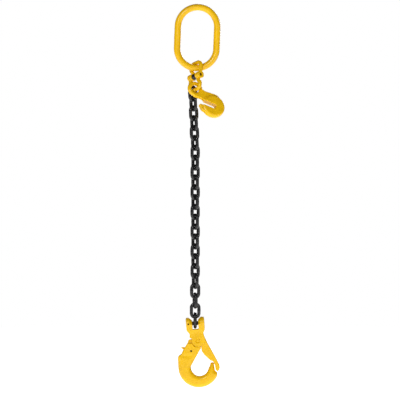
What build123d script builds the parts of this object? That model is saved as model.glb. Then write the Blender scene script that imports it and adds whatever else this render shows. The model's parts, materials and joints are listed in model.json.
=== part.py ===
"""Single-leg 7 mm alloy chain sling: master link, coupling link, shortening hook, chain, self-locking hook.

Origin: the seat in the top of the master link, where a crane hook carries it.
+X right, +Y away from the hook's front face, +Z up. All sizes in millimetres.
"""

from build123d import *
from math import cos, sin, radians
import os

os.makedirs("parts", exist_ok=True)

# ---- chain -------------------------------------------------------------------------------------
chain_wire = 7.0                 # nominal chain size
chain_inner_width = 9.1          # 1.3 times the wire
chain_pitch = 21.0               # 3 times the wire
link_count = 24
bearing_gap = 0.3                # air between two pieces that hang in each other
chain_turn = 36.0                # turn of the first link's plane about the vertical, degrees
untwist_last = 5                 # links over which the turn fades to nothing above the clevis
lean_links = 6                   # links at the top that lean towards the coupling
chain_lean = 2.4                 # their lean from the vertical, degrees

# ---- master link -------------------------------------------------------------------------------
master_wire = 14.0
master_inner_width = 70.0
master_inner_length = 116.0
master_tilt = 2.2                # lean of the link in its own plane, degrees

# ---- coupling link -----------------------------------------------------------------------------
coupling_wire = 8.4              # crown bar, thin enough for the chain's inner width
coupling_inner_width = 24.0
coupling_half_length = 31.0      # pin centre to the centre of the crown bar
coupling_crown_radius = 10.0     # corner radius of the crown, at the bar's centre
pin_direction = Vector(0.63, -0.74, 0.23).normalized()     # towards the near lug
crown_lean = Vector(0.05, 0.33, 0.94)                      # roughly the way the upper crown points
lug_radius = 7.8
lug_thickness = 6.4
lug_gap = 0.3                    # side play between lugs and sleeve
sleeve_radius = 6.4
coupling_pin_radius = 3.6
pin_play = 0.05                  # radial running clearance of every pin
pin_recess = 3.0                 # depth of the pin's ends below the lugs' faces

# ---- shortening hook ---------------------------------------------------------------------------
eye_hole_radius = 8.5
eye_wire = 8.5
eye_along_crown = 5.5            # where the eye sits on the lower crown, from its middle
eye_slack = (-3.0, 0.4)          # the slack eye's place about the crown bar, across and up
grab_turn = 23.0                 # turn of the hook's plane about the vertical, degrees
grab_lean = 21.0                 # how far the bowl hangs forward of the eye, degrees
grab_bowl_radius = 25.2
grab_bowl_place = (35.5, -40.0)  # bowl centre from the eye's centre, in the hook's plane
grab_slot_width = 10.4           # takes one link on edge
grab_slot_angle = -23.5          # direction of the slot from its mouth, degrees
grab_slot_length = 40.0
grab_neck_thickness = 9.0
grab_jaw_thickness = 10.0
grab_thickness = 15.0
grab_bowl_round = 5.5            # rolled edge of the bowl

# ---- self-locking hook -------------------------------------------------------------------------
hook_tilt = 4.8                  # lean of the hook under the chain, degrees
clevis_pin_radius = 4.25
clevis_width = 39.4
clevis_slot = 12.8
clevis_radius = 13.0
bowl_outer_radius = 44.0
bowl_inner_radius = 18.5
bowl_centre = (0.0, -93.0)
throat_centre = (2.0, -94.0)
bowl_thickness = 19.0
bowl_round = 2.0                 # rolled edges of the bowl
round_from = -56.0               # the edges are rolled below this height
pivot_place = (2.7, -37.1)
pivot_radius = 4.5
tongue_radius = 12.5
cheek_radius = 13.0              # round of the cheeks about the pivot
wing_radius = 21.0               # room for the tongue's back edge as the bowl swings open
cheek_gap = 0.4                  # between the cheeks' round and the bowl's shoulder
tongue_thickness = 9.0
cheek_thickness = 5.5
side_play = 0.35                 # gap on each side of a piece that turns in a slot
arm_thickness = 13.0
trigger_pin_place = (-13.4, -57.8)
trigger_pin_radius = 2.0
trigger_thickness = 6.0
spring_radius = 3.2
spring_wire = 0.8
retainer_place = (-14.6, -0.3)
retainer_radius = 1.8
ear_bevel_radius = 7.2           # where the bevel of the ears' inner edges starts
ear_bevel_below = 1.0            # how far it reaches below the pin's middle
clevis_slot_depth = 12.6         # bottom of the slot below the load pin

X, Y, Z = Vector(1, 0, 0), Vector(0, 1, 0), Vector(0, 0, 1)


def keep(piece, name):
    """Label a finished piece and write its file."""
    piece.label = name
    export_step(piece, f"parts/{name}.step")


def round_link(centre, width_dir, long_dir, wire, inner_width, inner_length):
    """A welded link of round wire: two straight legs joined by two half-ring bows."""
    bow_radius = (inner_width + wire) / 2
    half_leg = (inner_length - inner_width) / 2
    turn_axis = width_dir.cross(long_dir)
    with BuildPart() as link:
        with BuildSketch(Plane(origin=centre, x_dir=width_dir, z_dir=long_dir)):
            with Locations((bow_radius, 0), (-bow_radius, 0)):
                Circle(wire / 2)
        extrude(amount=half_leg, both=True)
        for end in (1, -1):
            bow_centre = centre + long_dir * half_leg * end
            with BuildSketch(Plane(origin=bow_centre, x_dir=width_dir, z_dir=long_dir)):
                with Locations((bow_radius, 0)):
                    Circle(wire / 2)
            revolve(axis=Axis(bow_centre, turn_axis * end), revolution_arc=180)
    return link.part


# ---- master link: one bar bent to an oblong and welded --------------------------------------------
tilt = radians(master_tilt)
master_down = Vector(-sin(tilt), 0, -cos(tilt))
master_across = Vector(cos(tilt), 0, -sin(tilt))
master = round_link(
    master_down * (master_inner_length / 2),
    master_across,
    -master_down,
    master_wire,
    master_inner_width,
    master_inner_length,
)
keep(master, "master_link")
master_bar = master_down * (master_inner_length + master_wire / 2)

# ---- coupling link: two forged halves on one pin, locked by a sleeve -------------------------------
pin_dir = pin_direction
crown_dir = (crown_lean - pin_dir * crown_lean.dot(pin_dir)).normalized()
coupling_normal = pin_dir.cross(crown_dir)
crown_half = (coupling_inner_width + coupling_wire) / 2
seat_drop = (master_wire + coupling_wire) / 2 + bearing_gap
crossing = abs(crown_dir.dot(X.cross(pin_dir).normalized()))
coupling_centre = master_bar - crown_dir * (coupling_half_length - seat_drop / crossing)
inner_lug = coupling_inner_width / 2 - lug_thickness / 2 + lug_gap
outer_lug = inner_lug + lug_thickness + lug_gap
pin_half = outer_lug + lug_thickness / 2


def coupling_half(side):
    """One half: a bow whose legs end in an inner lug on one side and an outer lug on the other."""
    along = pin_dir * side
    up = crown_dir * side
    plane = Plane(origin=coupling_centre, x_dir=along, z_dir=coupling_normal)
    shoulder = coupling_half_length * 0.55
    knee = lug_radius + 2.0
    with BuildPart() as half:
        with BuildLine(plane) as bow:
            FilletPolyline(
                (outer_lug, 0),
                (outer_lug, knee),
                (crown_half, shoulder),
                (crown_half, coupling_half_length),
                (-crown_half, coupling_half_length),
                (-crown_half, shoulder),
                (-inner_lug, knee),
                (-inner_lug, 0),
                radius=[6, 6, coupling_crown_radius, coupling_crown_radius, 6, 6],
            )
        with BuildSketch(Plane(origin=bow.line @ 0, z_dir=bow.line % 0)):
            Circle(coupling_wire / 2)
        sweep()
        for place in (outer_lug, -inner_lug):
            with BuildSketch(Plane(origin=coupling_centre + along * place, x_dir=up, z_dir=along)):
                Circle(lug_radius)
            extrude(amount=lug_thickness / 2, both=True)
        # room for the other half's lugs to turn, and for the sleeve between the inner lugs
        for place, width in ((inner_lug, lug_thickness), (-outer_lug, lug_thickness)):
            with BuildSketch(Plane(origin=coupling_centre + along * place, x_dir=up, z_dir=along)):
                Circle(lug_radius + bearing_gap * 2)
            extrude(amount=width / 2 + lug_gap, both=True, mode=Mode.SUBTRACT)
        with BuildSketch(Plane(origin=coupling_centre, x_dir=up, z_dir=along)):
            Circle(sleeve_radius + bearing_gap * 2)
        extrude(amount=inner_lug - lug_thickness / 2, both=True, mode=Mode.SUBTRACT)
        with BuildSketch(Plane(origin=coupling_centre, x_dir=up, z_dir=along)):
            Circle(coupling_pin_radius + pin_play)
        extrude(amount=pin_half + 1, both=True, mode=Mode.SUBTRACT)
    return half.part


keep(coupling_half(1), "coupling_upper_half")
keep(coupling_half(-1), "coupling_lower_half")

with BuildPart() as coupling_pin:
    with BuildSketch(Plane(origin=coupling_centre, x_dir=crown_dir, z_dir=pin_dir)):
        Circle(coupling_pin_radius)
    extrude(amount=pin_half - pin_recess, both=True)
    chamfer(coupling_pin.edges().filter_by(GeomType.CIRCLE), 0.8)
keep(coupling_pin.part, "coupling_load_pin")

with BuildPart() as sleeve:
    with BuildSketch(Plane(origin=coupling_centre, x_dir=crown_dir, z_dir=pin_dir)):
        Circle(sleeve_radius)
        Circle(coupling_pin_radius + pin_play, mode=Mode.SUBTRACT)
    extrude(amount=inner_lug - lug_thickness / 2 - lug_gap, both=True)
keep(sleeve.part, "coupling_sleeve")

# ---- chain ---------------------------------------------------------------------------------------
crown_bottom = coupling_centre - crown_dir * coupling_half_length
first_link_along = -(coupling_inner_width / 2 - chain_wire / 2 - bearing_gap * 4)
chain_inner_length = chain_pitch + bearing_gap


def chain_places():
    """From the top: each link's bar above, centre, width direction and downward direction."""
    bar = crown_bottom + pin_dir * first_link_along
    level_share = Vector(pin_dir.X, pin_dir.Y, 0).length
    bar_drop = ((coupling_wire + chain_wire) / 2 + bearing_gap) / level_share
    for index in range(link_count):
        from_bottom = link_count - 1 - index
        turn = chain_turn * min(1.0, from_bottom / untwist_last)
        lean = radians(chain_lean) if index < lean_links else 0.0
        down = Vector(sin(lean), 0, -cos(lean))
        angle = radians(turn + 90.0 * (index % 2))
        flat = Vector(cos(angle), sin(angle), 0)
        across = (flat - down * flat.dot(down)).normalized()
        centre = bar + down * (chain_inner_length / 2 + chain_wire / 2 - bar_drop)
        yield bar, centre, across, down
        bar = centre + down * (chain_inner_length + chain_wire) / 2
        bar_drop = chain_wire + bearing_gap


for index, (bar, centre, across, down) in enumerate(chain_places()):
    link = round_link(centre, across, -down, chain_wire, chain_inner_width, chain_inner_length)
    keep(link, f"chain_link_{index + 1:02d}")
clevis_centre = centre + down * (chain_inner_length / 2 - clevis_pin_radius - bearing_gap)

# ---- shortening hook: an eye and a round bowl with a slot for one link on edge -----------------------
turn = radians(grab_turn)
lean = radians(grab_lean)
grab_x = Vector(cos(turn), sin(turn), 0)
grab_up = Z * cos(lean) + Vector(-sin(turn), cos(turn), 0) * sin(lean)
grab_normal = grab_x.cross(grab_up)
eye_centre = crown_bottom + pin_dir * eye_along_crown + X * eye_slack[0] + Z * eye_slack[1]
grab_plane = Plane(origin=eye_centre, x_dir=grab_x, z_dir=grab_normal)
eye_mean = eye_hole_radius + eye_wire / 2
bowl_x, bowl_z = grab_bowl_place
slot_dir = Vector(cos(radians(grab_slot_angle)), sin(radians(grab_slot_angle)))
slot_mid = Vector(bowl_x, bowl_z - 1.5) - slot_dir * (grab_slot_length / 2 - grab_slot_width / 2)
with BuildPart() as grab_hook:
    # round bowl with rolled edges
    with BuildSketch(grab_plane):
        with Locations((bowl_x, bowl_z)):
            Circle(grab_bowl_radius)
    extrude(amount=grab_thickness / 2, both=True)
    fillet(grab_hook.edges().filter_by(GeomType.CIRCLE), radius=grab_bowl_round)
    # neck from the eye to the top of the bowl
    with BuildSketch(grab_plane):
        with BuildLine():
            FilletPolyline(
                (12.6, 1.0), (20.0, -5.5), (47.0, -14.5), (58.0, -28.0), (36.0, -42.0), (11.0, -22.5),
                (-4.0, -16.8), (-12.0, -8.0), close=True, radius=[1, 4, 8, 2, 4, 4, 4, 1],
            )
        make_face()
        Circle(eye_mean, mode=Mode.SUBTRACT)
    extrude(amount=grab_neck_thickness / 2, both=True)
    # lower jaw, reaching past the slot's mouth
    with BuildSketch(grab_plane):
        with BuildLine():
            FilletPolyline(
                (3.0, -34.0), (24.0, -42.0), (24.0, -58.0), (8.0, -48.5), close=True, radius=[1.5, 0, 0, 6],
            )
        make_face()
    extrude(amount=grab_jaw_thickness / 2, both=True)
    with BuildSketch(Plane(origin=eye_centre, x_dir=grab_x, z_dir=grab_up)):
        with Locations((eye_mean, 0)):
            Circle(eye_wire / 2)
    revolve(axis=Axis(eye_centre, grab_normal))
    # slot for one link on edge
    with BuildSketch(grab_plane):
        with Locations(Location((slot_mid.X, slot_mid.Y, 0), (0, 0, 1), grab_slot_angle)):
            SlotOverall(grab_slot_length, grab_slot_width)
    extrude(amount=grab_thickness, both=True, mode=Mode.SUBTRACT)
keep(grab_hook.part, "grab_hook")

# ---- self-locking hook -----------------------------------------------------------------------------
lean = radians(hook_tilt)
hook_x = Vector(cos(lean), 0, sin(lean))
hook_z = Vector(-sin(lean), 0, cos(lean))
hook_plane = Plane(origin=clevis_centre, x_dir=hook_x, z_dir=-Y)


def at(place, depth=0.0):
    """A point of the hook: across, up, and away from its front face."""
    return clevis_centre + hook_x * place[0] + hook_z * place[1] + Y * depth


def pin(place, radius, half_length, name):
    """A plain round pin through the hook's plate, with its ends broken."""
    with BuildPart() as shank:
        with BuildSketch(Plane(origin=at(place), x_dir=hook_x, z_dir=-Y)):
            Circle(radius)
        extrude(amount=half_length, both=True)
        chamfer(shank.edges().filter_by(GeomType.CIRCLE), radius / 6)
    keep(shank.part, name)


side_plane = Plane(origin=clevis_centre, x_dir=Y, z_dir=hook_x)
tongue_half = tongue_thickness / 2
head_half = tongue_half + side_play + cheek_thickness
bowl_half = bowl_thickness / 2
clevis_half = clevis_width / 2
slot_half = clevis_slot / 2
bevel_height = clevis_radius + 3
with BuildPart() as ear_bevel:
    # two cones about the load pin, above its middle: room for the bow of the last link but one
    with BuildSketch(hook_plane):
        for side in (1, -1):
            with BuildLine():
                Polyline(
                    (side * slot_half, ear_bevel_radius), (side * (slot_half + bevel_height - ear_bevel_radius), bevel_height),
                    (side * slot_half / 2, bevel_height), (side * slot_half / 2, ear_bevel_radius), close=True,
                )
            make_face()
    revolve(axis=Axis(clevis_centre, hook_x))
    split(bisect_by=Plane(origin=clevis_centre - hook_z * ear_bevel_below, z_dir=hook_z), keep=Keep.TOP)

with BuildPart() as head:
    # front view of the ears, the neck and the two cheeks that end in a round about the pivot
    with BuildSketch(hook_plane):
        with BuildLine():
            FilletPolyline(
                (-19.6, 14.0), (19.8, 14.0), (19.6, -14.0), (15.6, -22.0), (19.0, -37.0), (22.6, -44.1),
                (9.0, -46.0), (-9.3, -32.6), (-14.6, -29.7), (-13.6, -22.0), (-19.6, -14.0), close=True,
                radius=[5, 5, 5, 5, 6, 0, 0, 1, 1, 5, 5],
            )
        make_face()
        with Locations(pivot_place):
            Circle(cheek_radius)
    extrude(amount=clevis_radius + 1, both=True)
    # side view: round about the load pin, drawn in to the thickness of the cheeks
    with BuildSketch(side_plane):
        Circle(clevis_radius)
        with BuildLine():
            Polyline(
                (-clevis_radius, 0), (clevis_radius, 0), (head_half, -21), (head_half, -60),
                (-head_half, -60), (-head_half, -21), close=True,
            )
        make_face()
    extrude(amount=clevis_half * 2, both=True, mode=Mode.INTERSECT)
    # locking arm, which reaches down to the bowl's tip
    with BuildSketch(hook_plane):
        with BuildLine():
            Polyline(
                (16.0, -26.0), (22.6, -44.1), (29.0, -57.5), (37.0, -75.3), (44.0, -92.0),
                (44.6, -98.0), (42.8, -103.0), (39.3, -106.0), (35.2, -102.5), (34.4, -92.0),
                (30.5, -83.0), (26.0, -82.0), (14.3, -69.1), (8.7, -60.5), (8.7, -44.0), close=True,
            )
        make_face()
    extrude(amount=arm_thickness / 2, both=True)
    # slot between the ears for the chain
    with BuildSketch(Plane(origin=clevis_centre, x_dir=hook_x, z_dir=-Y)):
        with BuildLine():
            Polyline(
                (-slot_half, -clevis_slot_depth), (-slot_half, 20.0),
                (slot_half, 20.0), (slot_half, -clevis_slot_depth), close=True,
            )
        make_face()
    extrude(amount=clevis_radius + 2, both=True, mode=Mode.SUBTRACT)
    # bevel of the ears' inner edges
    add(ear_bevel.part, mode=Mode.SUBTRACT)
    # slot between the cheeks for the bowl's tongue
    with BuildSketch(hook_plane):
        with Locations(pivot_place):
            Circle(tongue_radius + side_play)
        with BuildSketch(mode=Mode.PRIVATE) as wing_room:
            with Locations(pivot_place):
                Circle(wing_radius)
            with Locations((-12.3, -43.0)):
                Rectangle(30.0, 39.0, mode=Mode.INTERSECT)
        add(wing_room.sketch)
    extrude(amount=tongue_half + side_play, both=True, mode=Mode.SUBTRACT)
    # bores for the load pin, its retainer and the pivot rivet
    with BuildSketch(Plane(origin=clevis_centre, x_dir=Y, z_dir=hook_x)):
        Circle(clevis_pin_radius + pin_play)
    extrude(amount=clevis_half + 1, both=True, mode=Mode.SUBTRACT)
    for place, radius in ((retainer_place, retainer_radius), (pivot_place, pivot_radius)):
        with BuildSketch(hook_plane):
            with Locations(place):
                Circle(radius + pin_play)
        extrude(amount=clevis_radius + 2, both=True, mode=Mode.SUBTRACT)
keep(head.part, "hook_head")

with BuildPart() as load_pin:
    with BuildSketch(Plane(origin=clevis_centre, x_dir=Y, z_dir=hook_x)):
        Circle(clevis_pin_radius)
    extrude(amount=clevis_half - 1.2, both=True)
    chamfer(load_pin.edges().filter_by(GeomType.CIRCLE), 0.8)
    with BuildSketch(hook_plane):
        with Locations(retainer_place):
            Circle(retainer_radius + pin_play)
    extrude(amount=clevis_radius, both=True, mode=Mode.SUBTRACT)
keep(load_pin.part, "hook_load_pin")

with BuildPart() as retainer:
    with BuildSketch(hook_plane):
        with Locations(retainer_place):
            Circle(retainer_radius)
            Circle(retainer_radius - 0.5, mode=Mode.SUBTRACT)
    extrude(amount=clevis_radius - 2.5, both=True)
keep(retainer.part, "load_pin_retainer")

# ---- bowl of the hook: a J that turns on the rivet between the cheeks --------------------------------
with BuildPart() as bowl:
    with BuildSketch(hook_plane):
        with BuildLine():
            Polyline((8.2, -49.2), (8.2, -54.0), (4.6, -58.4), (-16.3, -90.9))
            ThreePointArc((-16.3, -90.9), (2.0, -112.5), (20.0, -98.2))
            Line((20.0, -98.2), (24.4, -91.0))
            ThreePointArc((24.4, -91.0), (28.6, -85.7), (32.8, -91.0))
            Polyline((32.8, -91.0), (33.6, -103.5), (38.1, -108.5), (38.1, -115.0))
            ThreePointArc((38.1, -115.0), (0.0, -137.0), (-44.0, -93.0))
            Polyline(
                (-44.0, -93.0), (-43.4, -71.0), (-41.0, -66.4), (-34.6, -62.5),
                (-30.4, -55.0), (-20.3, -41.4), (-9.7, -41.4), (-6.0, -49.0), (8.2, -49.2),
            )
        make_face()
        with Locations(pivot_place):
            Circle(cheek_radius + cheek_gap, mode=Mode.SUBTRACT)
    extrude(amount=bowl_half, both=True)
    rim = bowl.faces().filter_by(Axis.Y).edges()
    fillet([edge for edge in rim if (edge.center() - clevis_centre).dot(hook_z) < round_from], radius=bowl_round)
    with BuildSketch(hook_plane):
        with Locations(pivot_place):
            Circle(tongue_radius)
        with BuildLine():
            Polyline((-8.0, -33.2), (-16.6, -33.6), (-19.3, -39.5), (-20.3, -41.5), (-8.0, -52.0), (2.0, -52.0), close=True)
        make_face()
    extrude(amount=tongue_half, both=True)
    # slot in the back for the trigger
    with BuildSketch(hook_plane):
        with BuildLine():
            Polyline((-6.5, -62.0), (-6.5, -47.5), (-12.0, -43.5), (-45.0, -43.5), (-45.0, -60.5), (-20.0, -66.5), close=True)
        make_face()
    extrude(amount=trigger_thickness / 2 + side_play, both=True, mode=Mode.SUBTRACT)
    for place, radius in ((pivot_place, pivot_radius), (trigger_pin_place, trigger_pin_radius)):
        with BuildSketch(hook_plane):
            with Locations(place):
                Circle(radius + pin_play)
        extrude(amount=clevis_radius, both=True, mode=Mode.SUBTRACT)
keep(bowl.part, "hook_bowl")

pin(pivot_place, pivot_radius, head_half - 0.3, "hook_pivot_rivet")
pin(trigger_pin_place, trigger_pin_radius, bowl_half - 1.0, "trigger_pin")

# ---- trigger: thumb lever on its own pin, with a torsion spring beside its hub -----------------------
hub_back = 0.2
with BuildPart() as trigger:
    with BuildSketch(hook_plane):
        with BuildLine():
            Polyline(
                (-11.0, -53.5), (-10.0, -49.5), (-13.5, -48.5), (-17.0, -52.5), (-26.5, -49.2),
                (-33.6, -48.0), (-34.2, -50.2), (-29.0, -54.0), (-18.0, -61.0), close=True,
            )
        make_face()
        with Locations(trigger_pin_place):
            Circle(5.3)
    extrude(amount=trigger_thickness / 2, both=True)
    with BuildSketch(hook_plane.offset(-trigger_thickness / 2)):
        with Locations(trigger_pin_place):
            Circle(spring_radius + 1.2)
    extrude(amount=trigger_thickness / 2 - hub_back, mode=Mode.SUBTRACT)
    with BuildSketch(hook_plane):
        with Locations(trigger_pin_place):
            Circle(trigger_pin_radius + pin_play)
    extrude(amount=clevis_radius, both=True, mode=Mode.SUBTRACT)
keep(trigger.part, "trigger")

spring_pitch = spring_wire * 1.2
spring_turns = 1.75
with BuildPart() as spring:
    with BuildLine() as coil:
        Helix(
            pitch=spring_pitch,
            height=spring_pitch * spring_turns,
            radius=spring_radius,
            center=at(trigger_pin_place, trigger_thickness / 2 - spring_wire / 2),
            direction=-Y,
        )
    with BuildSketch(Plane(origin=coil.line @ 0, z_dir=coil.line % 0)):
        Circle(spring_wire / 2)
    sweep(is_frenet=True)
keep(spring.part, "trigger_spring")
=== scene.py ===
import json
import math

import bpy
import numpy as np
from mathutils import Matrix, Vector

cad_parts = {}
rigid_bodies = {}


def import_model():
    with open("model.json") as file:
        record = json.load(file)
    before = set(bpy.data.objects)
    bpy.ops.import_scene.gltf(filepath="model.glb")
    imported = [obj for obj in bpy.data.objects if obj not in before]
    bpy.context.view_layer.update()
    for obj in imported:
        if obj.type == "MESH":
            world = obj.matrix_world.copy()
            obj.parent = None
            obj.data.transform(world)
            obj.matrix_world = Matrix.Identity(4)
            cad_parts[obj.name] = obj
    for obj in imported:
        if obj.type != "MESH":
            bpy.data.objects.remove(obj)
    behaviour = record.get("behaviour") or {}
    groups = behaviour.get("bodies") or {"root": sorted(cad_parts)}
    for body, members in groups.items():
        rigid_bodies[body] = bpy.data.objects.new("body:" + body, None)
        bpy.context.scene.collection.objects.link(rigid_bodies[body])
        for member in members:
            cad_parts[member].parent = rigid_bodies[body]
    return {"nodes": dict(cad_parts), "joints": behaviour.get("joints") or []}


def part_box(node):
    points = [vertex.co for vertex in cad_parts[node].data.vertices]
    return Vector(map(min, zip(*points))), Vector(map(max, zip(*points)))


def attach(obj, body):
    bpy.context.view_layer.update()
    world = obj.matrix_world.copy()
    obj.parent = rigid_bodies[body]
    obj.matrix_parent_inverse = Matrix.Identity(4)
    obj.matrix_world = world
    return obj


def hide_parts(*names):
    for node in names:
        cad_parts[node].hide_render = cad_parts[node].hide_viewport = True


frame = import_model()
nodes = frame["nodes"]
joints = {joint["name"]: joint for joint in frame["joints"]}
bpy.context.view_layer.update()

# ---- Stage and camera ------------------------------------------------------------------------------
# The sling hangs over a round sheet of pale paper on a studio floor, against plain white on every side.
# A long lens looks level along +Y at the middle of the leg, so the whole hanging length is in view.
floor_drop = 0.09
floor_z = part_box("hook_bowl")[0].z - floor_drop
floor_radius = 4.0
floor_corners = 96


def round_sheet(name, radius, height, corners):
    """A flat round sheet: one face whose corners are spaced evenly on a circle."""
    turn = np.arange(corners) / corners * 2 * math.pi
    rim = np.stack([radius * np.cos(turn), radius * np.sin(turn), np.full(corners, height)], axis=1)
    mesh = bpy.data.meshes.new(name)
    mesh.from_pydata(rim.tolist(), [], [list(range(corners))])
    sheet = bpy.data.objects.new(name, mesh)
    bpy.context.scene.collection.objects.link(sheet)
    return sheet


paper = bpy.data.materials.new("pale_paper")
paper.use_nodes = True
paper_shader = paper.node_tree.nodes["Principled BSDF"]
paper_shader.inputs["Base Color"].default_value = (0.86, 0.86, 0.85, 1)
paper_shader.inputs["Roughness"].default_value = 0.95
paper_shader.inputs["Emission Color"].default_value = (1.0, 1.0, 1.0, 1)
paper_shader.inputs["Emission Strength"].default_value = 1.1
paper_floor = round_sheet("paper_floor", floor_radius, floor_z, floor_corners)
paper_floor.data.materials.append(paper)

view_middle = Vector((0.0038, 0.0, -0.4046))
view_height = 0.854
camera_distance = 5.0
lens = bpy.data.cameras.new("long_lens")
lens.sensor_width = 36.0
lens.lens = lens.sensor_width * camera_distance / view_height
camera = bpy.data.objects.new("camera", lens)
camera.location = view_middle - Vector((0, camera_distance, 0))
camera.rotation_euler = (math.pi / 2, 0, 0)
bpy.context.scene.collection.objects.link(camera)
bpy.context.scene.camera = camera

world = bpy.data.worlds.new("studio")
world.use_nodes = True
studio = world.node_tree
soft = studio.nodes["Background"]
soft.inputs["Color"].default_value = (1.0, 1.0, 1.0, 1)
soft.inputs["Strength"].default_value = 0.12
backdrop = studio.nodes.new("ShaderNodeBackground")
backdrop.inputs["Color"].default_value = (1.0, 1.0, 1.0, 1)
backdrop.inputs["Strength"].default_value = 1.0
seen = studio.nodes.new("ShaderNodeLightPath")
choice = studio.nodes.new("ShaderNodeMixShader")
studio.links.new(seen.outputs["Is Camera Ray"], choice.inputs["Fac"])
studio.links.new(soft.outputs["Background"], choice.inputs[1])
studio.links.new(backdrop.outputs["Background"], choice.inputs[2])
studio.links.new(choice.outputs["Shader"], studio.nodes["World Output"].inputs["Surface"])
bpy.context.scene.world = world
bpy.context.scene.view_settings.view_transform = "Standard"


def soft_box(name, place, aim, size, power):
    """A square area light of that size at place, turned so that it shines on aim."""
    lamp = bpy.data.lights.new(name, "AREA")
    lamp.shape = "SQUARE"
    lamp.size = size
    lamp.energy = power
    light = bpy.data.objects.new(name, lamp)
    light.location = place
    light.rotation_euler = (Vector(aim) - Vector(place)).to_track_quat("-Z", "Y").to_euler()
    bpy.context.scene.collection.objects.link(light)


soft_box("key_light", (-0.7, -2.6, 0.7), view_middle, 0.7, 29.0)
soft_box("fill_light", (1.6, -2.2, -0.1), view_middle, 1.0, 5.0)
soft_box("back_light", (0.6, 2.4, 0.6), view_middle, 1.2, 22.0)

# ---- Master link -----------------------------------------------------------------------------------
# An oblong link bent from one round bar of alloy steel and flash-welded on one leg, then powder
# coated yellow. The weld leaves a low swelling half way down the leg.
master_wire = 0.014
master_inner_width = 0.070
master_inner_length = 0.116
master_tilt = math.radians(2.2)
master_weld_swell = 0.035


def link_mesh(name, centre, across, down, wire, inner_width, inner_length, steps, weld):
    """A welded link: a circle of the wire's radius carried round two straight legs and two half circles.

    The radius swells by the weld's share in a smooth hump at the middle of the leg on the minus side.
    """
    bow = (inner_width + wire) / 2
    half_leg = (inner_length - inner_width) / 2
    lap = 4 * half_leg + 2 * math.pi * bow
    travel = np.arange(steps[0]) / steps[0] * lap
    leg, arc = 2 * half_leg, math.pi * bow
    on_plus = travel < leg
    on_top = (travel >= leg) & (travel < leg + arc)
    on_minus = (travel >= leg + arc) & (travel < 2 * leg + arc)
    up_angle = (travel - leg) / bow
    low_angle = math.pi + (travel - 2 * leg - arc) / bow
    wide = np.select(
        [on_plus, on_top, on_minus], [bow, bow * np.cos(up_angle), -bow], bow * np.cos(low_angle),
    )
    tall = np.select(
        [on_plus, on_top, on_minus],
        [-half_leg + travel, half_leg + bow * np.sin(up_angle), half_leg - (travel - leg - arc)],
        -half_leg + bow * np.sin(low_angle),
    )
    out_wide = np.select([on_plus, on_top, on_minus], [1.0, np.cos(up_angle), -1.0], np.cos(low_angle))
    out_tall = np.select([on_plus, on_top, on_minus], [0.0, np.sin(up_angle), 0.0], np.sin(low_angle))
    weld_place = 1.5 * leg + arc
    weld_reach = 0.45 * wire
    hump = np.exp(-(((travel - weld_place) / weld_reach) ** 2))
    radius = wire / 2 * (1 + weld * hump)
    around = np.arange(steps[1]) / steps[1] * 2 * math.pi
    across, up = np.array(across), -np.array(down)
    normal = np.cross(across, up)
    middle = np.array(centre) + wide[:, None] * across + tall[:, None] * up
    outward = out_wide[:, None] * across + out_tall[:, None] * up
    ring = np.cos(around)[None, :, None] * outward[:, None, :] + np.sin(around)[None, :, None] * normal
    grid = middle[:, None, :] + radius[:, None, None] * ring
    mesh = bpy.data.meshes.new(name)
    mesh.from_pydata(grid.reshape(-1, 3).tolist(), [], ring_faces(*steps)[:, ::-1].tolist())
    mesh.shade_smooth()
    piece = bpy.data.objects.new(name, mesh)
    bpy.context.scene.collection.objects.link(piece)
    return piece


def ring_faces(rings, sides):
    """Four-sided faces between the points of closed rings, which themselves close in a ring."""
    i, j = np.meshgrid(np.arange(rings), np.arange(sides), indexing="ij")
    next_i, next_j = (i + 1) % rings, (j + 1) % sides
    corners = [i * sides + j, i * sides + next_j, next_i * sides + next_j, next_i * sides + j]
    return np.stack(corners, axis=-1).reshape(-1, 4)


def noise(tree, scale, detail, rough=0.5):
    """Noise on object coordinates, with its scale in cells per metre."""
    where = tree.nodes.new("ShaderNodeTexCoord")
    cloud = tree.nodes.new("ShaderNodeTexNoise")
    cloud.inputs["Scale"].default_value = scale
    cloud.inputs["Detail"].default_value = detail
    cloud.inputs["Roughness"].default_value = rough
    tree.links.new(where.outputs["Object"], cloud.inputs["Vector"])
    return cloud.outputs["Fac"]


def ramp(tree, source, stops):
    """A colour ramp over source, from (place, colour) stops."""
    blend = tree.nodes.new("ShaderNodeValToRGB")
    while len(blend.color_ramp.elements) < len(stops):
        blend.color_ramp.elements.new(0.5)
    for element, (place, colour) in zip(blend.color_ramp.elements, stops):
        element.position = place
        element.color = (*colour, 1)
    tree.links.new(source, blend.inputs["Fac"])
    return blend.outputs["Color"]


def bump(tree, source, distance, strength, below=None):
    """A bump node whose height is source, laid over the normal of below where that is given."""
    node = tree.nodes.new("ShaderNodeBump")
    node.inputs["Distance"].default_value = distance
    node.inputs["Strength"].default_value = strength
    tree.links.new(source, node.inputs["Height"])
    if below:
        tree.links.new(below, node.inputs["Normal"])
    return node.outputs["Normal"]


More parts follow.
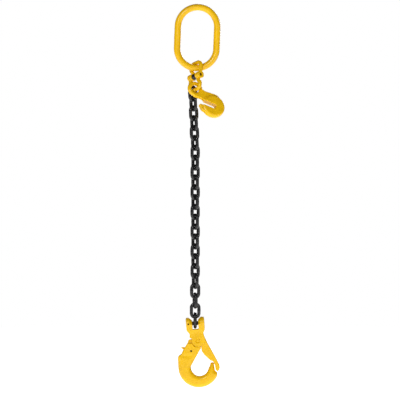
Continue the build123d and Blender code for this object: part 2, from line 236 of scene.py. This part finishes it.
def yellow_paint(name, forging_marks):
    """Gloss powder coat: warm yellow with painted shade multiplied in (darker in hollows, creases and on
    rounded edges), with orange peel and forging marks.
    """
    paint = bpy.data.materials.new(name)
    paint.use_nodes = True
    tree = paint.node_tree
    shader = tree.nodes["Principled BSDF"]
    drift = ramp(tree, noise(tree, 60.0, 3.0), [(0.3, (0.84, 0.48, 0.001)), (0.7, (0.95, 0.56, 0.002))])
    shape = tree.nodes.new("ShaderNodeNewGeometry")
    # Painted shade: the yellow is darkened where the surface is hollow (low pointiness) and on rounded
    # edges (high pointiness), standing in for shade in creases and the fall-off of light at the rims.
    painted_hollow_and_edge_shade = ramp(tree, shape.outputs["Pointiness"], [
        (0.42, (0.50, 0.46, 0.40)), (0.485, (1.0, 1.0, 1.0)),
        (0.52, (1.0, 1.0, 1.0)), (0.60, (0.80, 0.76, 0.66)),
    ])
    coat = tree.nodes.new("ShaderNodeMix")
    coat.data_type = "RGBA"
    coat.blend_type = "MULTIPLY"
    coat.inputs["Factor"].default_value = 0.8
    tree.links.new(drift, coat.inputs[6])
    tree.links.new(painted_hollow_and_edge_shade, coat.inputs[7])
    tree.links.new(coat.outputs[2], shader.inputs["Base Color"])
    gloss = ramp(tree, noise(tree, 220.0, 4.0), [(0.3, (0.22, 0.22, 0.22)), (0.75, (0.42, 0.42, 0.42))])
    tree.links.new(gloss, shader.inputs["Roughness"])
    marks = bump(tree, noise(tree, 240.0, 2.0), 0.0006, forging_marks)
    peel = bump(tree, noise(tree, 1600.0, 2.0), 0.00012, 0.35, marks)
    tree.links.new(peel, shader.inputs["Normal"])
    shader.inputs["Specular IOR Level"].default_value = 0.25
    shader.inputs["Coat Weight"].default_value = 0.2
    shader.inputs["Coat Roughness"].default_value = 0.12
    return paint


bar_paint = yellow_paint("bar_paint", 0.12)
master_down = np.array([-math.sin(master_tilt), 0.0, -math.cos(master_tilt)])
master_across = np.array([math.cos(master_tilt), 0.0, -math.sin(master_tilt)])
master_link = link_mesh(
    "welded_master_link", master_down * master_inner_length / 2, master_across, master_down,
    master_wire, master_inner_width, master_inner_length, (240, 48), master_weld_swell,
)
master_link.data.materials.append(bar_paint)
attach(master_link, "master")
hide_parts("master_link")

# ---- Forged pieces ---------------------------------------------------------------------------------
# The coupling halves, both hooks and the trigger are drop forged and trimmed, so no edge is sharp.
# Each is the designed solid with its edges rolled over, under the same yellow powder coat.
seam_gap = 1e-6
coupling_grain, hook_grain, trigger_grain = 0.0004, 0.0005, 0.0003
bowl_oval_below = 0.064
bowl_oval_fade = 0.020
bowl_oval_depth = 0.0085
forged_paint = yellow_paint("forged_paint", 0.3)


def forged(node, name, body, grain, passes, oval=None):
    """The node's own surface, closed, divided into cells of the grain's size and relaxed passes times.

    oval, where given, is (top, fade, depth): below the height top the flat section is made an oval one
    that reaches its full thickness at that depth from the outline, coming in over the height fade.
    """
    mesh = nodes[node].data.copy()
    piece = bpy.data.objects.new(name, mesh)
    bpy.context.scene.collection.objects.link(piece)
    seams = piece.modifiers.new("close_seams", "WELD")
    seams.merge_threshold = seam_gap
    divide(piece, grain)
    if oval:
        make_oval(piece, *oval)
        divide(piece, grain)
    roll = piece.modifiers.new("rolled_edges", "SMOOTH")
    roll.factor = 0.5
    roll.iterations = passes
    take_modifiers(piece)
    piece.data.name = name
    piece.data.materials.clear()
    piece.data.materials.append(forged_paint)
    piece.data.shade_smooth()
    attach(piece, body)
    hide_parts(node)


def divide(piece, grain):
    """Remakes the piece's surface in even cells of the grain's size."""
    cells = piece.modifiers.new("grain", "REMESH")
    cells.mode = "VOXEL"
    cells.voxel_size = grain
    take_modifiers(piece)


def make_oval(piece, top, fade, depth):
    """Draws each point towards the middle plane across Y, by its distance d in from the outline.

    The thickness is left at the share sqrt(1 - (1 - d / depth) squared) of the flat one, which is a
    quarter ellipse, and at all of it further in. The outline is the points whose normals lie in XZ.
    """
    count = len(piece.data.vertices)
    co, normal = np.empty(count * 3), np.empty(count * 3)
    piece.data.vertices.foreach_get("co", co)
    piece.data.vertices.foreach_get("normal", normal)
    co, normal = co.reshape(-1, 3), normal.reshape(-1, 3)
    middle = (co[:, 1].min() + co[:, 1].max()) / 2
    side_slope, rim_grid, rows_at_once, edge_share = 0.2, 0.0004, 4000, 0.02
    rim = co[np.abs(normal[:, 1]) < side_slope][:, [0, 2]]
    rim = np.unique(np.round(rim / rim_grid).astype(int), axis=0) * rim_grid
    inside = np.empty(count)
    for part in np.array_split(np.arange(count), 1 + count // rows_at_once):
        gap = co[part][:, None, [0, 2]] - rim[None]
        inside[part] = np.sqrt((gap ** 2).sum(axis=2).min(axis=1))
    left = np.sqrt(1 - (1 - np.clip(inside / depth, edge_share, 1.0)) ** 2)
    share = np.clip((top - co[:, 2]) / fade, 0.0, 1.0)
    share = share * share * (3 - 2 * share)
    co[:, 1] = middle + (co[:, 1] - middle) * (1 - share * (1 - left))
    piece.data.vertices.foreach_set("co", co.ravel())
    piece.data.update()


def take_modifiers(piece):
    """Gives the piece the mesh that its modifiers make, and removes them."""
    made = bpy.data.meshes.new_from_object(piece.evaluated_get(bpy.context.evaluated_depsgraph_get()))
    piece.modifiers.clear()
    piece.data = made


clevis_z = Vector(joints["hook_swing"]["pos_m"]).z
bowl_oval = (clevis_z - bowl_oval_below, bowl_oval_fade, bowl_oval_depth)
for node, name, body, grain, passes, oval in (
    ("coupling_upper_half", "forged_coupling_upper", "coupling_upper", coupling_grain, 8, None),
    ("coupling_lower_half", "forged_coupling_lower", "coupling_lower", coupling_grain, 8, None),
    ("grab_hook", "forged_shortening_hook", "shortener", hook_grain, 30, None),
    ("hook_head", "forged_hook_head", "hook_head", hook_grain, 14, None),
    ("hook_bowl", "forged_hook_bowl", "hook_bowl", hook_grain, 10, bowl_oval),
    ("trigger", "forged_trigger", "trigger", trigger_grain, 6, None),
):
    forged(node, name, body, grain, passes, oval)

# ---- Trigger pin bosses ----------------------------------------------------------------------------
# The forging stands up in a low round boss on both faces of the bowl's shank, and the trigger pin is
# pressed through the two. Each boss is part of the bowl and carries the same powder coat.
boss_outer_radius = 0.0058
boss_inner_radius = 0.0019
boss_height = 0.00055


def boss_ring(name, centre, outer, inner, height):
    """A ring about Y: an ellipse, as wide as the ring and twice its height deep, carried round a circle."""
    steps, sides = 64, 16
    turn = np.arange(steps)[:, None] / steps * 2 * math.pi
    around = np.arange(sides)[None, :] / sides * 2 * math.pi
    reach = (outer + inner) / 2 + (outer - inner) / 2 * np.cos(around)
    depth = height * np.sin(around) + 0 * turn
    grid = np.stack([reach * np.cos(turn), depth, reach * np.sin(turn)], axis=-1) + np.array(centre)
    mesh = bpy.data.meshes.new(name)
    mesh.from_pydata(grid.reshape(-1, 3).tolist(), [], ring_faces(steps, sides).tolist())
    mesh.shade_smooth()
    ring = bpy.data.objects.new(name, mesh)
    bpy.context.scene.collection.objects.link(ring)
    return ring


trigger_axis = Vector(joints["trigger_press"]["pos_m"])
for side, face_y in (("front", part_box("trigger_pin")[0].y), ("back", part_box("trigger_pin")[1].y)):
    boss = boss_ring(
        f"trigger_boss_{side}", (trigger_axis.x, face_y, trigger_axis.z),
        boss_outer_radius, boss_inner_radius, boss_height,
    )
    boss.data.materials.append(forged_paint)
    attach(boss, "hook_bowl")

# ---- Chain -----------------------------------------------------------------------------------------
# Short-link chain of 7 mm alloy steel wire, each link cut, bent round the last and butt-welded on one
# leg, then hardened and dipped in black lacquer. Every other link stands across the one above it.
chain_wire = 0.007
chain_inner_width = 0.0091
chain_inner_length = 0.0213
weld_swell = 0.07


def black_lacquer():
    """Thin black lacquer over scaled steel: near black, with greyer rubbed spots and a fine pitted skin."""
    lacquer = bpy.data.materials.new("black_lacquer")
    lacquer.use_nodes = True
    tree = lacquer.node_tree
    shader = tree.nodes["Principled BSDF"]
    skin = ramp(tree, noise(tree, 180.0, 5.0, 0.6), [
        (0.35, (0.004, 0.004, 0.005)), (0.60, (0.009, 0.009, 0.010)), (0.78, (0.035, 0.033, 0.031)),
    ])
    tree.links.new(skin, shader.inputs["Base Color"])
    gloss = ramp(tree, noise(tree, 420.0, 4.0), [(0.3, (0.16, 0.16, 0.16)), (0.7, (0.34, 0.34, 0.34))])
    tree.links.new(gloss, shader.inputs["Roughness"])
    shader.inputs["Specular IOR Level"].default_value = 0.5
    scale_marks = bump(tree, noise(tree, 700.0, 3.0), 0.0002, 0.35)
    tree.links.new(scale_marks, shader.inputs["Normal"])
    return lacquer


chain_lacquer = black_lacquer()
link_names = sorted(name for name in nodes if name.startswith("chain_link_"))


def link_joints(node):
    """The joint that hangs in this link and the one that this link hangs by."""
    body = node.replace("chain_", "")
    below = [joint for joint in frame["joints"] if joint["parent"] == body][0]
    above = joints[f"{body}_swing"]
    return below, above


for node in link_names:
    below, above = link_joints(node)
    low, high = Vector(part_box(node)[0]), Vector(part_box(node)[1])
    centre = (low + high) / 2
    top_bar = Vector(above["pos_m"])
    down = (centre - top_bar).normalized()
    if node == link_names[0]:
        down = (Vector(below["pos_m"]) - centre).normalized()
    if node == link_names[-1]:
        across = Vector((0, 1, 0))
    else:
        across = Vector(below["axis"])
    across = (across - down * across.dot(down)).normalized()
    link = link_mesh(
        node.replace("chain_link", "welded_link"), centre, across, down,
        chain_wire, chain_inner_width, chain_inner_length, (96, 24), weld_swell,
    )
    link.data.materials.append(chain_lacquer)
    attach(link, node.replace("chain_", ""))
    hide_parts(node)

# ---- Pins, sleeve and spring -----------------------------------------------------------------------
# Turned and hardened steel: the load pins, the pivot rivet and trigger pin with their ends peened, the
# sleeve that locks the coupling, and the wound wire spring. The pivot rivet is peened before the hook
# is coated, so it is yellow too.


def turned_steel(name, light, dark, roughness):
    """Turned steel: grey that drifts with handling oil, with fine rings of tool marks in the gloss."""
    steel = bpy.data.materials.new(name)
    steel.use_nodes = True
    tree = steel.node_tree
    shader = tree.nodes["Principled BSDF"]
    shader.inputs["Metallic"].default_value = 1.0
    tone = ramp(tree, noise(tree, 350.0, 4.0), [(0.3, dark), (0.7, light)])
    tree.links.new(tone, shader.inputs["Base Color"])
    low, high = roughness
    gloss = ramp(tree, noise(tree, 900.0, 3.0), [(0.3, (low,) * 3), (0.7, (high,) * 3)])
    tree.links.new(gloss, shader.inputs["Roughness"])
    tree.links.new(bump(tree, noise(tree, 2200.0, 2.0), 0.00005, 0.4), shader.inputs["Normal"])
    return steel


# Painted shade: the pin steel is made near black, far darker than bare turned steel, so the pin ends stand
# in for the shade inside the recessed pin holes; its grey drift is still the steel's own.
pin_steel_with_painted_shade = turned_steel("pin_steel_oiled", (0.05, 0.045, 0.04), (0.018, 0.016, 0.014), (0.42, 0.6))
spring_wire = turned_steel("spring_wire_drawn", (0.62, 0.62, 0.63), (0.42, 0.42, 0.43), (0.18, 0.30))
for node, finish in (
    ("coupling_load_pin", pin_steel_with_painted_shade), ("coupling_sleeve", chain_lacquer), ("hook_load_pin", pin_steel_with_painted_shade),
    ("hook_pivot_rivet", forged_paint), ("trigger_pin", pin_steel_with_painted_shade),
    ("trigger_spring", spring_wire),
):
    nodes[node].data.materials.clear()
    nodes[node].data.materials.append(finish)

# ---- Coiled retainer -------------------------------------------------------------------------------
# The load pin is held by a coiled spring pin driven through one clevis ear: a strip of spring steel
# rolled two and a quarter turns on itself, a little below the face, with a pinhole left in the middle.
strip_turns = 2.25
strip_thickness = 0.00040
strip_spacing = 0.00047


def coiled_pin(name, low, high):
    """A rolled strip along Y: a spiral whose radius falls evenly with its turn, given its thickness."""
    middle = (low + high) / 2
    turn = np.linspace(0.0, strip_turns * 2 * math.pi, 121)
    outer = (high.x - low.x) / 2 - strip_spacing * turn / (2 * math.pi)
    inner = outer - strip_thickness
    outline = np.concatenate([
        np.stack([outer * np.cos(turn), outer * np.sin(turn)], axis=1),
        np.stack([inner * np.cos(turn), inner * np.sin(turn)], axis=1)[::-1],
    ])
    count, steps = len(outline), len(turn)
    points = np.empty((2, count, 3))
    points[..., 0] = middle.x + outline[:, 0]
    points[..., 2] = middle.z + outline[:, 1]
    points[0, :, 1] = low.y
    points[1, :, 1] = high.y
    i = np.arange(count)
    walls = np.stack([i, (i + 1) % count, (i + 1) % count + count, i + count], axis=1)
    k = np.arange(steps - 1)
    front = np.stack([k, count - 1 - k, count - 2 - k, k + 1], axis=1)
    faces = np.concatenate([walls, front, (front + count)[:, ::-1]])
    mesh = bpy.data.meshes.new(name)
    mesh.from_pydata(points.reshape(-1, 3).tolist(), [], faces.tolist())
    pin = bpy.data.objects.new(name, mesh)
    bpy.context.scene.collection.objects.link(pin)
    return pin


retainer = coiled_pin("coiled_retainer", *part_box("load_pin_retainer"))
# The retainer takes the same near-black pin steel, whose darkness is painted shade.
retainer.data.materials.append(pin_steel_with_painted_shade)
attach(retainer, "hook_head")
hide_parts("load_pin_retainer")
